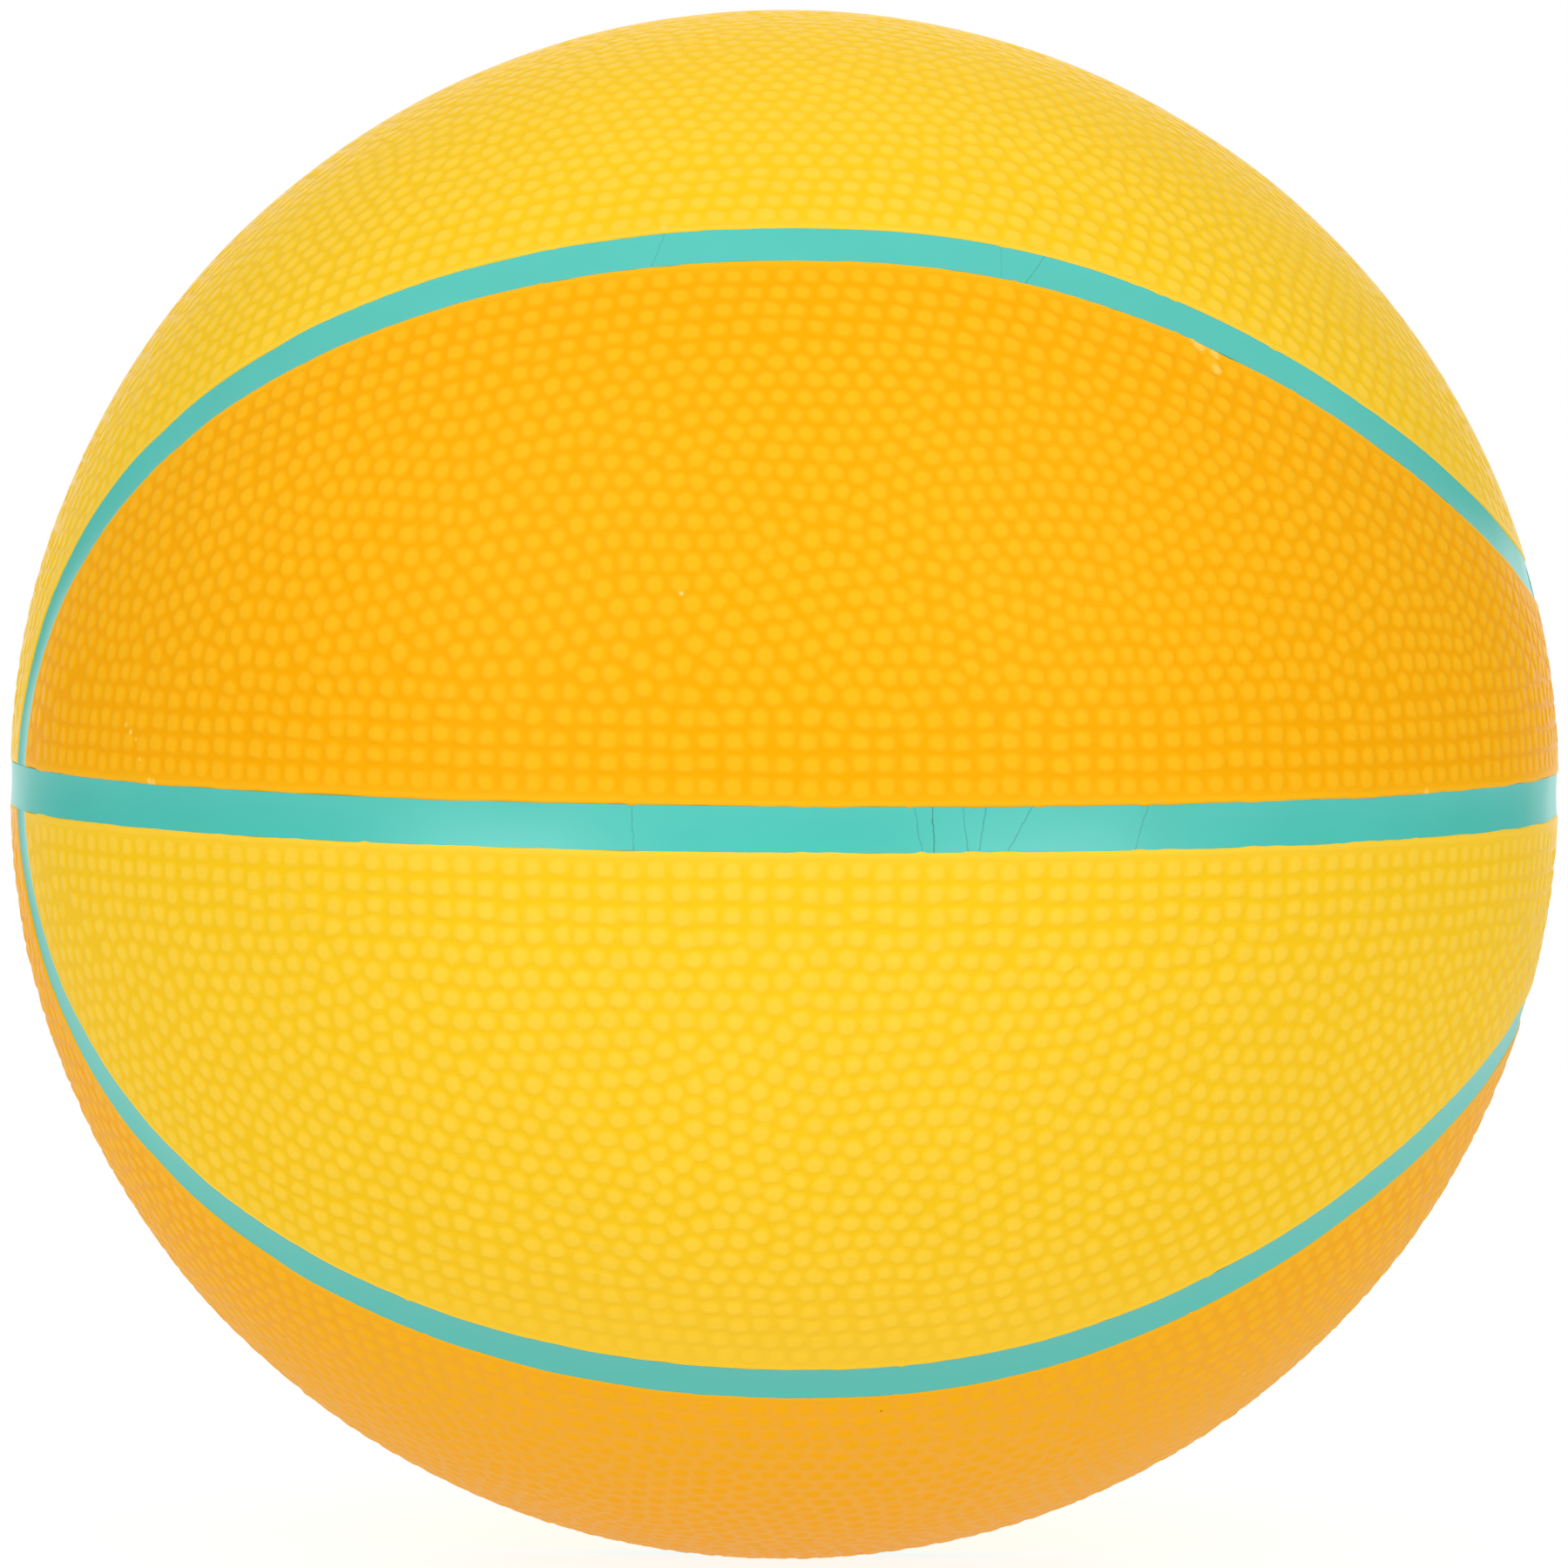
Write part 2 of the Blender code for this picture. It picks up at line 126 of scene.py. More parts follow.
# Nubs of rubber that run over the edges of the seams: azimuths in degrees, size in metres
EQUATOR_NUBS = {"upper": (-10.7, 8.9, 18.1, 26.3, 47.0), "lower": (-31.0, 9.6, 13.2, 25.8, 52.0)}
LOOP_NUBS = {"upper": (-24.0, 22.0, 37.2, 38.6, 48.0), "lower": (-36.0, 12.0, 41.0)}
NUB_HEIGHT_LIMIT = 0.06
NUB_LENGTH = 0.00022
NUB_WIDTH = 0.00040

# Fine cracks across the seams: azimuth at the upper and lower end in degrees, and strength
CRACKS = (
    (-10.7, -10.5, 0.5),
    (9.2, 9.7, 0.5),
    (10.4, 10.6, 1.0),
    (12.6, 13.0, 0.6),
    (14.3, 13.8, 0.7),
    (17.6, 15.9, 0.8),
    (26.5, 25.5, 0.6),
)
LOOP_CRACKS = ((-12.7, -13.3, 0.5), (21.9, 20.8, 0.35), (26.6, 22.9, 0.9))
CRACK_WIDTH = 0.00011

# Pale chips and scratches: azimuth, elevation in degrees, and radius in metres
CHIPS = (
    (39.1, 35.9, 0.0014),
    (40.4, 35.0, 0.0009),
    (39.8, 33.7, 0.0009),
    (-55.7, 5.7, 0.0004),
    (-55.0, 5.2, 0.0004),
    (-54.2, 4.7, 0.0003),
    (-53.5, 3.3, 0.0003),
    (-52.2, 1.7, 0.0006),
    (-51.7, 1.7, 0.0005),
    (53.2, 1.7, 0.0006),
    (-12.9, 46.4, 0.0005),
)

# Colours, linear
# Tops and valleys: the deeper valley colours are painted shade in the creases between the pebbles
YELLOW_TOP = (1.00, 0.644, 0.048)
YELLOW_VALLEY = (0.94, 0.572, 0.008)
ORANGE_TOP = (1.00, 0.493, 0.012)
ORANGE_VALLEY = (0.935, 0.398, 0.001)
# Painted reflection of the floor: pale valleys on the underside
YELLOW_PAINTED_REFLECTION = (0.94, 0.600, 0.085)
ORANGE_PAINTED_REFLECTION = (0.93, 0.450, 0.062)
PALE_SCUFF = (1.00, 0.740, 0.240)
PALE_CHIP = (1.00, 0.660, 0.120)
DARK_SPECK = (0.16, 0.09, 0.02)
TEAL_PAINT = (0.062, 0.580, 0.496)
TEAL_DEEP = (0.048, 0.520, 0.436)
# Painted shade: the teal deeper on the underside
TEAL_PAINTED_SHADE = (0.044, 0.495, 0.425)
TEAL_CRACK = (0.006, 0.190, 0.170)

# Heights in metres between which the valleys turn paler than the pebbles, a painted reflection of the
# floor, and the teal deeper, a painted shade
UNDERSIDE = (-0.042, -0.088)
UNDERSIDE_STRENGTH = 0.9
TEAL_UNDERSIDE = (-0.025, -0.058)

# Finishes and painted shade: ranges of the pebbles' depth in millimetres, for the painted shade of the
# valleys and for the bumps, patterns, gloss and sheen
TONE_RANGE = (-0.26, 0.60)
FLANK_RANGE = (-0.18, 0.38)
BUMP_STRENGTH = 0.25
BUMP_DISTANCE = 0.00018
RUBBER_CLOUD = (34.0, 3.0)
STRIP_CLOUD = (60.0, 4.0)
PLAIN_CLOUD = (90.0, 2.0)
FINE_WOBBLE = (900.0, 2.0)
RAGGED_EDGE = (1400.0, 2.0)
SHADE_SHARE = 0.30
DEEPEST_PEBBLE = 0.94
DEEPEST_PLAIN = 0.7
SCUFF_DOTS = (95.0, 0.034, 0.93)
SPECK_DOTS = (70.0, 0.016, 0.72)
CHIP_EDGE = (1.5, 0.9)
CHIP_STRENGTH = 0.8
CRACK_WOBBLE = 0.006
RUBBER_ROUGHNESS = 0.34
RUBBER_GLOSS = 0.016
SHEEN_WEIGHT = 0.025
SHEEN_ROUGHNESS = 0.2
SHEEN_TINT = (1.0, 0.82, 0.70, 1.0)
STRIP_ROUGHNESS = 0.36
STRIP_GLOSS = 0.85
FLOOR_ROUGHNESS = 0.9
WHITE = (1.0, 1.0, 1.0, 1.0)

# Strengths of the surroundings, and where the sky's and the backdrop's light sets in
SIDE_LIGHT = 0.14
SKY_LIGHT = 0.66
SKY_RANGE = (-0.05, 0.6)
BACK_LIGHT = 1.75
BACK_RANGE = (0.80, 0.95)
FLOOR_SIZE = 1.3
FLOOR_GREY = 0.2
FLOOR_GLOW = 0.74
FLOOR_WHITE = 0.84
FLOOR_SHADED = 0.27
BOX_AZIMUTH = math.radians(40.0)
BOX_ELEVATION = math.radians(26.0)
BOX_DISTANCE = 1.7
BOX_WIDTH = 0.8
BOX_HEIGHT = 2.0
BOX_ENERGY = {"left_softbox": 12.4, "right_softbox": 12.0}

# Camera: far away, slightly above the equator
CAMERA_DISTANCE = 16 * BALL_RADIUS
CAMERA_ELEVATION = math.radians(3.18)
CAMERA_ROLL = math.radians(0.46)
CAMERA_LENS = 284.1
CAMERA_SENSOR = 36.0

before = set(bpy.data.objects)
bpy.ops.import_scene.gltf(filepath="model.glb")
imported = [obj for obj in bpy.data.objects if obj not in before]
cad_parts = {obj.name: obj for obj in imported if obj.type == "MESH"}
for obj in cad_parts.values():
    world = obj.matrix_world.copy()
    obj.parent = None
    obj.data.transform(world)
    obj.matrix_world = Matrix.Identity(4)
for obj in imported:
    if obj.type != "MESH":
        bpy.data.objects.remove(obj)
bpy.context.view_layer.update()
scene = bpy.context.scene
rng = np.random.default_rng(7)


def unit(points):
    return points / np.linalg.norm(points, axis=-1, keepdims=True)


def direction(azimuth, elevation):
    """Unit vectors at an azimuth from the front towards +X and an elevation above the equator."""
    flat = np.cos(elevation)
    return np.stack([flat * np.sin(azimuth), -flat * np.cos(azimuth), np.sin(elevation) + 0 * azimuth], -1)


def right_half(azimuth):
    """Elevation of the loop's centre line over its right half, which falls towards the meridian."""
    fall = np.cos(math.pi / 2 * np.clip(azimuth / (math.pi / 2), 0, None) ** RIGHT_LEAN)
    rise = np.sign(fall) * np.abs(fall) ** RIGHT_TAPER
    return RIGHT_END_HEIGHT + (LOOP_HALF_HEIGHT - RIGHT_END_HEIGHT) * rise


def loop_point(turn):
    """Centre line of the front loop, from its left end, over the top, to the meridian at pi."""
    rise = np.sign(np.sin(turn)) * np.abs(np.sin(turn)) ** LEFT_TAPER
    left = direction(-LEFT_LENGTH * np.cos(turn), LOOP_HALF_HEIGHT * rise)
    right = direction(turn - math.pi / 2, right_half(turn - math.pi / 2))
    return np.where((turn > math.pi / 2)[..., None], right, left)


def loop_edge(turn, distance):
    """Points that lie this distance outside the loop's centre line, or inside it if negative."""
    centre = loop_point(turn)
    ahead = loop_point(turn + TANGENT_STEP) - loop_point(turn - TANGENT_STEP)
    outwards = unit(np.cross(centre, ahead))
    angle = np.asarray(distance / BALL_RADIUS)[..., None]
    return centre * np.cos(angle) + outwards * np.sin(angle)


def loop_span(distance, limit=HALF_SEAM):
    """The turns at which that edge of the loop stands clear of the equator and of the meridian."""
    feet = []
    for end, axis in ((0.0, (0.0, 0.0, 1.0)), (math.pi, (0.0, -1.0, 0.0))):
        turns = np.linspace(end, math.pi / 2, SPAN_SAMPLES)
        edge = loop_edge(turns, np.full(turns.shape, distance))
        feet.append(turns[np.argmax(edge @ np.array(axis) >= math.sin(limit / BALL_RADIUS))])
    return feet


def loop_line(distance, first, last):
    """The edge of the loop between two turns, as a function of the share of the way."""
    return lambda share: loop_edge(first + share * (last - first), np.full(share.shape, distance))


def meridian_start(angle):
    return np.arcsin(math.sin(HALF_SEAM_ANGLE) / np.cos(angle))


def meridian_edge(share, distance):
    """Points beside the upper half of the meridian seam, from left to right over the top."""
    angle = np.asarray(distance / BALL_RADIUS) + 0 * share
    start = meridian_start(angle)
    turn = start + share * (math.pi - 2 * start)
    across = np.cos(angle)
    return np.stack([-np.cos(turn) * across, -np.sin(angle), np.sin(turn) * across], -1)


def share_of_meridian(point):
    """The share of the way along the meridian's front edge at which a point on its right half lies."""
    start = meridian_start(HALF_SEAM_ANGLE)
    return (math.pi - math.asin(point[2] / math.cos(HALF_SEAM_ANGLE)) - start) / (math.pi - 2 * start)


def azimuth_of(point):
    return math.atan2(point[0], -point[1])


def coons(u, v, bottom, top, left, right):
    """Directions on the ball spanned by four edges that meet at their ends."""
    a = u[:, None]
    b = v[:, None]
    zero = np.zeros(1)
    one = np.ones(1)
    ruled = bottom(u) * (1 - b) + top(u) * b + left(v) * (1 - a) + right(v) * a
    corners = (bottom(zero) * (1 - a) + bottom(one) * a) * (1 - b)
    corners = corners + (top(zero) * (1 - a) + top(one) * a) * b
    return unit(ruled - corners)


def inner_panel_directions(u, v):
    """The field inside the front loop, above the equator."""
    start, end = loop_span(-HALF_SEAM)
    shoulder = start + (end - start) * SHOULDER_SHARE
    first, last = loop_edge(np.array([start, end]), np.full(2, -HALF_SEAM))
    left = azimuth_of(first)
    right = azimuth_of(meridian_edge(np.ones(1), HALF_SEAM)[0])
    top = share_of_meridian(last)
    return coons(
        u,
        v,
        lambda t: direction(left + (right - left) * t, HALF_SEAM_ANGLE + 0 * t),
        loop_line(-HALF_SEAM, shoulder, end),
        loop_line(-HALF_SEAM, start, shoulder),
        lambda t: meridian_edge(1 + t * (top - 1), HALF_SEAM),
    )


def outer_panel_directions(u, v):
    """The field between the front loop and the meridian seam, above the equator."""
    start, end = loop_span(HALF_SEAM)
    first, last = loop_edge(np.array([start, end]), np.full(2, HALF_SEAM))
    left = azimuth_of(first)
    far = azimuth_of(meridian_edge(np.zeros(1), HALF_SEAM)[0])
    foot = share_of_meridian(last)
    shoulder = foot * (1 - SHOULDER_SHARE)
    return coons(
        u,
        v,
        loop_line(HALF_SEAM, start, end),
        lambda t: meridian_edge(t * shoulder, HALF_SEAM),
        lambda t: direction(left + t * (far - left), HALF_SEAM_ANGLE + 0 * t),
        lambda t: meridian_edge(foot + t * (shoulder - foot), HALF_SEAM),
    )


def ripple(points, wave):
    """Smooth uneven heights in metres on points of the unit ball: waves in seeded directions."""
    wavelength, height, seed = wave
    waves = np.random.default_rng(seed)
    places = points * BALL_RADIUS
    total = np.zeros(len(points))
    for _ in range(WAVE_COUNT):
        way = unit(waves.normal(size=3)) * waves.uniform(0.7, 1.4) * 2 * math.pi / wavelength
        total += np.sin(places @ way + waves.uniform(0, 2 * math.pi))
    return total / math.sqrt(WAVE_COUNT) * height


LOOP_LINE = loop_point(np.linspace(0.0, math.pi, LOOP_SAMPLES))
loop_tree = kdtree.KDTree(len(LOOP_LINE))
for index, point in enumerate(LOOP_LINE):
    loop_tree.insert(point, index)
loop_tree.balance()


def edge_distance(points):
    """Distance of unit vectors from their panel's edge, in metres, and the way straight inwards."""
    found = [loop_tree.find(p) for p in points]
    nearest = LOOP_LINE[[f[1] for f in found]]
    chord = np.array([f[2] for f in found])
    distances = np.array(
        [
            2 * np.arcsin(np.clip(chord / 2, 0, 1)),
            np.arcsin(np.clip(points[:, 2], -1, 1)),
            np.arcsin(np.clip(-points[:, 1], -1, 1)),
        ]
    )
    level = np.tile((0.0, 0.0, 1.0), (len(points), 1))
    ways = np.array([unit(points - nearest + 1e-12), level, np.roll(-level, -1, axis=1)])
    choice = np.argmin(distances, axis=0)
    every = np.arange(len(points))
    return distances[choice, every] * BALL_RADIUS - HALF_SEAM, ways[choice, every]


def inside_panel(points, kind):
    """True where a point lies on the panel's side of the loop."""
    azimuth = np.arctan2(points[:, 0], -points[:, 1])
    share = np.clip(-azimuth / LEFT_LENGTH, 0, 1)
    left = LOOP_HALF_HEIGHT * (1 - share**2) ** (LEFT_TAPER / 2)
    below = np.arcsin(points[:, 2]) < np.where(azimuth > 0, right_half(azimuth), left)
    return below if kind == "inner" else ~below


def spaced_rows(kind):
    """Rows of pebbles along the panel's edges: points kept where no other row stands too near."""
    kept = np.zeros((0, 3))
    fine = np.linspace(0.0, 1.0, ROW_SAMPLES)
    jitter = []
    for row in range(FIXED_ROWS):
        inset = ROW_START + row * ROW_STEP
        beside = HALF_SEAM + inset
        from_loop = -beside if kind == "inner" else beside
        start, end = loop_span(from_loop, beside)
        for line in (
            loop_line(from_loop, start, end)(fine),
            direction((fine - 0.5) * math.pi, beside / BALL_RADIUS + 0 * fine),
            meridian_edge(fine, beside),
        ):
            steps = np.linalg.norm(np.diff(line, axis=0), axis=1)
            lengths = np.concatenate(([0.0], np.cumsum(steps))) * BALL_RADIUS
            count = int(lengths[-1] / ALONG_STEP)
            at = (np.arange(count) + 0.5) * lengths[-1] / count
            picks = line[np.clip(np.searchsorted(lengths, at), 0, len(line) - 1)]
            picks = picks[inside_panel(picks, kind)]
            gaps, _ = edge_distance(picks)
            for point in picks[gaps > inset - ROW_TOLERANCE]:
                apart = np.linalg.norm(kept - point, axis=1) * BALL_RADIUS
                if np.all(apart > ROW_CLEARANCE):
                    kept = np.vstack((kept, point))
                    jitter.append(ROW_JITTER * (1 + row / 2) / BALL_RADIUS)
    return unit(kept + rng.normal(size=kept.shape) * np.array(jitter)[:, None])


def relaxed_pebbles(kind):
    """Pebble centres of a panel: fixed rows at its edges and a packed field between them."""
    rows = spaced_rows(kind)
    free_from = ROW_START + FIXED_ROWS * ROW_STEP
    spread = unit(rng.normal(size=(SCATTERED_POINTS, 3)))
    spread = spread[(spread[:, 1] < 0) & (spread[:, 2] > 0)]
    spread = spread[inside_panel(spread, kind)]
    gaps, _ = edge_distance(spread)
    spread = spread[gaps > free_from - ROW_STEP / 2]
    area = len(spread) / SCATTERED_POINTS * 4 * math.pi * BALL_RADIUS**2
    free = spread[: int(area / CELL_AREA)]
    reach = PEBBLE_SPACING * RELAX_REACH / BALL_RADIUS
    for step in range(RELAX_ROUNDS):
        everything = np.vstack((free, rows))
        if step % ROUNDS_PER_SEARCH == 0:
            near = np.argpartition(-(free @ everything.T), NEIGHBOURS, axis=1)[:, :NEIGHBOURS]
        offsets = free[:, None] - everything[near]
        lengths = np.linalg.norm(offsets, axis=2, keepdims=True)
        push = np.clip(reach - lengths, 0, None) * offsets / np.maximum(lengths, 1e-6)
        free = unit(free + RELAX_PUSH * push.sum(axis=1))
        gaps, ways = edge_distance(free)
        short = np.clip(free_from - FIELD_TOLERANCE - gaps, 0, None)[:, None] / BALL_RADIUS
        free = unit(free + ways * short)
    return np.vstack((free, rows))


def select_only(piece):
    bpy.ops.object.select_all(action="DESELECT")
    piece.select_set(True)
    bpy.context.view_layer.objects.active = piece


def new_grid(name, cells):
    """A flat grid of one metre, whose places give shares from -0.5 to 0.5 along and across a piece."""
    bpy.ops.object.select_all(action="DESELECT")
    bpy.ops.mesh.primitive_grid_add(x_subdivisions=cells[0], y_subdivisions=cells[1], size=1.0)
    piece = bpy.context.object
    piece.name = name
    piece.data.name = name
    piece.data.uv_layers[0].name = "OFBake"
    return piece


def coordinates(piece):
    values = np.empty(len(piece.data.vertices) * 3)
    piece.data.vertices.foreach_get("co", values)
    return values.reshape(-1, 3)


def set_coordinates(piece, values):
    piece.data.vertices.foreach_set("co", values.ravel())
    piece.data.update()


def set_attribute(piece, name, values):
    attribute = piece.data.attributes.get(name) or piece.data.attributes.new(name, "FLOAT", "POINT")
    attribute.data.foreach_set("value", values.astype(np.float32))


def gathered(share, border):
    """Moves grid lines towards both ends, so that the rounded edges get more of them."""
    pull = border * np.sin(2 * math.pi * share) / (2 * math.pi)
    return share - pull


def smooth_step(value, low, high):
    t = np.clip((value - low) / (high - low), 0, 1)
    return t * t * (3 - 2 * t)


def pebble_lookup(pebbles):
    """A tree of the pebbles' centres on the ball."""
    tree = kdtree.KDTree(len(pebbles))
    for index, point in enumerate(pebbles):
        tree.insert(point * BALL_RADIUS, index)
    tree.balance()
    return tree


def pebble_depth(points, pebbles, tree, sizes, reach):
    """How far inside its pebble's outline each point lies, its pebble, and the way to the border."""
    pairs = [tree.find_n(p, 2) for p in points * BALL_RADIUS]
    first = np.array([p[0][1] for p in pairs])
    second = np.array([p[1][1] for p in pairs])
    near = np.array([p[0][2] for p in pairs])
    far = np.array([p[1][2] for p in pairs])
    across = pebbles[second] - pebbles[first]
    between = np.linalg.norm(across, axis=1)
    to_border = (far**2 - near**2) / (2 * between * BALL_RADIUS)
    to_circle = PEBBLE_RADIUS * sizes[first] - near + PEBBLE_VALLEY
    by_border = np.exp(-np.clip(to_border, *DEPTH_RANGE) / PEBBLE_BLEND)
    by_circle = np.exp(-np.clip(to_circle, *DEPTH_RANGE) / PEBBLE_BLEND)
    depth = -PEBBLE_BLEND * np.log(by_border + by_circle)
    move = np.where(to_border < reach, to_border, 0.0) / between / BALL_RADIUS
    return depth - PEBBLE_VALLEY, first, across * move[:, None]


def shape_panel(piece, surface, cells, pebbles, half):
    """Lays a grid over a panel and raises its pebbles and its lip, with nubs along the seams."""
    shares = coordinates(piece)[:, :2] + 0.5
    u = gathered(shares[:, 0], GATHER_ALONG)
    v = gathered(shares[:, 1], GATHER_ACROSS)
    points = surface(u, v)
    next_u = gathered(shares[:, 0] + 1 / cells[0], GATHER_ALONG)
    next_v = gathered(shares[:, 1] + 1 / cells[1], GATHER_ACROSS)
    across_cell = np.linalg.norm(surface(u, next_v) - points, axis=1)
    along_cell = np.linalg.norm(surface(next_u, v) - points, axis=1)
    reach = SNAP_SHARE * np.minimum(across_cell, along_cell) * BALL_RADIUS
    gaps, _ = edge_distance(points)
    tree = pebble_lookup(pebbles)
    sizes = rng.uniform(*PEBBLE_SIZES, len(pebbles))
    heights = rng.uniform(*PEBBLE_HEIGHTS, len(pebbles))
    shades = rng.uniform(0.0, 1.0, len(pebbles))
    tilts = rng.normal(size=(len(pebbles), 3)) * PEBBLE_TILT / 2
    # Points close to the line between two pebbles move onto it, which keeps the valleys crisp
    _, _, move = pebble_depth(points, pebbles, tree, sizes, reach)
    points = unit(points + move * (gaps > LIP_WIDTH)[:, None])
    gaps, _ = edge_distance(points)
    depth, own, _ = pebble_depth(points, pebbles, tree, sizes, reach)
    depth += ripple(points, OUTLINE_WAVE)
    rise = 1 - (1 - np.clip(depth / PEBBLE_SLOPE, 0, 1)) ** DOME_POWER
    offset = (points - pebbles[own]) * BALL_RADIUS
    lean = np.sum(offset * tilts[own], axis=1) / PEBBLE_RISE
    full = EDGE_RELIEF + (1 - EDGE_RELIEF) * smooth_step(gaps, *EDGE_FADE)
    relief = rise * (heights[own] + lean) * full
    wave = ripple(points, LONG_EDGE_WAVE) + ripple(points, SHORT_EDGE_WAVE)
    azimuths = np.arctan2(points[:, 0], -points[:, 1])
    low = points[:, 2] < NUB_HEIGHT_LIMIT
    for nubs, there in ((EQUATOR_NUBS[half], low), (LOOP_NUBS[half], ~low)):
        for nub in nubs:
            along_edge = (azimuths - math.radians(nub)) * BALL_RADIUS
            wave += NUB_LENGTH * np.exp(-((along_edge / NUB_WIDTH) ** 2)) * there
    from_edge = gaps + wave
    lip = from_edge / LIP_WIDTH
    bead = np.sqrt(np.clip(1 - (np.clip(lip / LIP_CREST, 0, 1) - 1) ** 2, 0, 1))
    band = 1 - smooth_step(lip, LIP_CREST, 1.0) / 2 - smooth_step(lip, 1.0, LIP_END) / 2
    bead = np.where(lip > LIP_CREST, band, bead)
    foot = np.where(lip < LIP_CREST, -PEBBLE_RISE - LIP_DROP * (1 - bead), -PEBBLE_RISE)
    height = np.maximum(relief, bead * BEAD_HEIGHT)
    radius = BALL_RADIUS + foot + PEBBLE_RISE * height + ripple(points, PANEL_WAVE)
    set_coordinates(piece, points * radius[:, None])
    # The depth also sets the painted shade: valleys deeper than the pebbles' tops
    set_attribute(piece, "spot", np.maximum(depth * 1000, BEAD_TONE[0] * bead + BEAD_TONE[1]))
    set_attribute(piece, "shade", shades[own])


def cut_valve_hole(piece):
    """Opens the round hole of the valve in a front panel's grid, with a smooth ring round it."""
    axis = VALVE_AXIS * np.array((-1, -1, 1))
    points = coordinates(piece)
    apart = np.linalg.norm(points - (points @ axis)[:, None] * axis, axis=1)
    near_axis = points @ axis > 0
    fade = smooth_step(apart, VALVE_RING_FADE * VALVE_RING_RADIUS, VALVE_RING_RADIUS)
    plain = np.where(near_axis, 1 - fade, 0)
    radius = np.linalg.norm(points, axis=1)
    fall = smooth_step(apart, VALVE_HOLE_RADIUS + VALVE_EDGE_FALL, VALVE_HOLE_RADIUS)
    level = BALL_RADIUS - PEBBLE_RISE * (1 + fall)
    points = unit(points) * (radius + plain * (level - radius))[:, None]
    set_coordinates(piece, points)
    spot = np.empty(len(points), dtype=np.float32)
    piece.data.attributes["spot"].data.foreach_get("value", spot)
    set_attribute(piece, "spot", spot + plain * (VALVE_RING_TONE - spot))
    select_only(piece)
    bpy.ops.object.mode_set(mode="EDIT")
    bpy.ops.mesh.select_all(action="DESELECT")
    bpy.ops.object.mode_set(mode="OBJECT")
    piece.data.vertices.foreach_set("select", near_axis & (apart < VALVE_HOLE_RADIUS))
    bpy.ops.object.mode_set(mode="EDIT")
    bpy.ops.mesh.delete(type="VERT")
    bpy.ops.object.mode_set(mode="OBJECT")
    edges = np.empty(len(piece.data.loops), dtype=np.int32)
    piece.data.loops.foreach_get("edge_index", edges)
    ends = np.empty(len(piece.data.edges) * 2, dtype=np.int32)
    piece.data.edges.foreach_get("vertices", ends)
    rim = np.unique(ends.reshape(-1, 2)[np.bincount(edges, minlength=len(piece.data.edges)) == 1])
    points = coordinates(piece)
    along = (points @ axis)[:, None] * axis
    apart = np.linalg.norm(points - along, axis=1)
    rim = rim[(apart[rim] < VALVE_RIM_REACH * VALVE_HOLE_RADIUS) & (points[rim] @ axis > 0)]
    points[rim] = along[rim] + unit(points[rim] - along[rim]) * VALVE_HOLE_RADIUS
    set_coordinates(piece, points)


def part_hidden_faces(piece):
    """Gives the walls and the back their own narrow column of the texture."""
    hidden = np.linalg.norm(coordinates(piece), axis=1) < COVER_INNER_RADIUS + HIDDEN_MARGIN
    corners = np.empty(len(piece.data.loops), dtype=np.int32)
    piece.data.loops.foreach_get("vertex_index", corners)
    sizes = np.empty(len(piece.data.polygons), dtype=np.int32)
    piece.data.polygons.foreach_get("loop_total", sizes)
    starts = np.empty(len(piece.data.polygons), dtype=np.int32)
    piece.data.polygons.foreach_get("loop_start", starts)
    behind = np.repeat(np.logical_or.reduceat(hidden[corners], starts), sizes)
    layer = piece.data.uv_layers["OFBake"].data
    places = np.empty(len(corners) * 2, dtype=np.float32)
    layer.foreach_get("uv", places)
    places = places.reshape(-1, 2)
    hidden_places = HIDDEN_COLUMN[0] + HIDDEN_COLUMN[1] * places[:, 0]
    shown_places = SHOWN_COLUMN[0] + SHOWN_COLUMN[1] * places[:, 0]
    places[:, 0] = np.where(behind, hidden_places, shown_places)
    layer.foreach_set("uv", places.ravel())


def draw_inwards(piece):
    """Extrudes a piece's whole face to the cover's inner radius, and tells which points are new."""
    bpy.ops.object.mode_set(mode="EDIT")
    bpy.ops.mesh.select_all(action="SELECT")
    bpy.ops.mesh.extrude_region()
    bpy.ops.object.mode_set(mode="OBJECT")
    points = coordinates(piece)
    new = np.zeros(len(points), dtype=bool)
    piece.data.vertices.foreach_get("select", new)
    points[new] = unit(points[new]) * COVER_INNER_RADIUS
    set_coordinates(piece, points)
    return new


def face_outwards():
    bpy.ops.object.mode_set(mode="EDIT")
    bpy.ops.mesh.select_all(action="SELECT")
    bpy.ops.mesh.normals_make_consistent(inside=False)
    bpy.ops.object.mode_set(mode="OBJECT")


def thicken_panel(piece):
    """Draws the panel's back and walls inwards, and thins out the hidden back."""
    select_only(piece)
    new = draw_inwards(piece)
    group = piece.vertex_groups.new(name="back")
    group.add([int(i) for i in np.flatnonzero(new)], 1.0, "REPLACE")
    thin = piece.modifiers.new("thin", "DECIMATE")
    thin.vertex_group = "back"
    thin.ratio = (len(piece.data.polygons) / 2 + BACK_FACES) / len(piece.data.polygons)
    bpy.ops.object.modifier_apply(modifier="thin")
    piece.vertex_groups.clear()
    face_outwards()
    bpy.ops.object.shade_smooth()
    part_hidden_faces(piece)


def turned_copy(piece, name, signs):
    """The same piece on another quarter of the ball, turned there by half a turn."""
    copy = piece.copy()
    copy.data = piece.data.copy()
    copy.name = name
    copy.data.name = name
    scene.collection.objects.link(copy)
    set_coordinates(copy, coordinates(copy) * np.array(signs))
    return copy


def new_material(name):
    material = bpy.data.materials.new(name)
    material.use_nodes = True
    return material, material.node_tree.nodes, material.node_tree.links


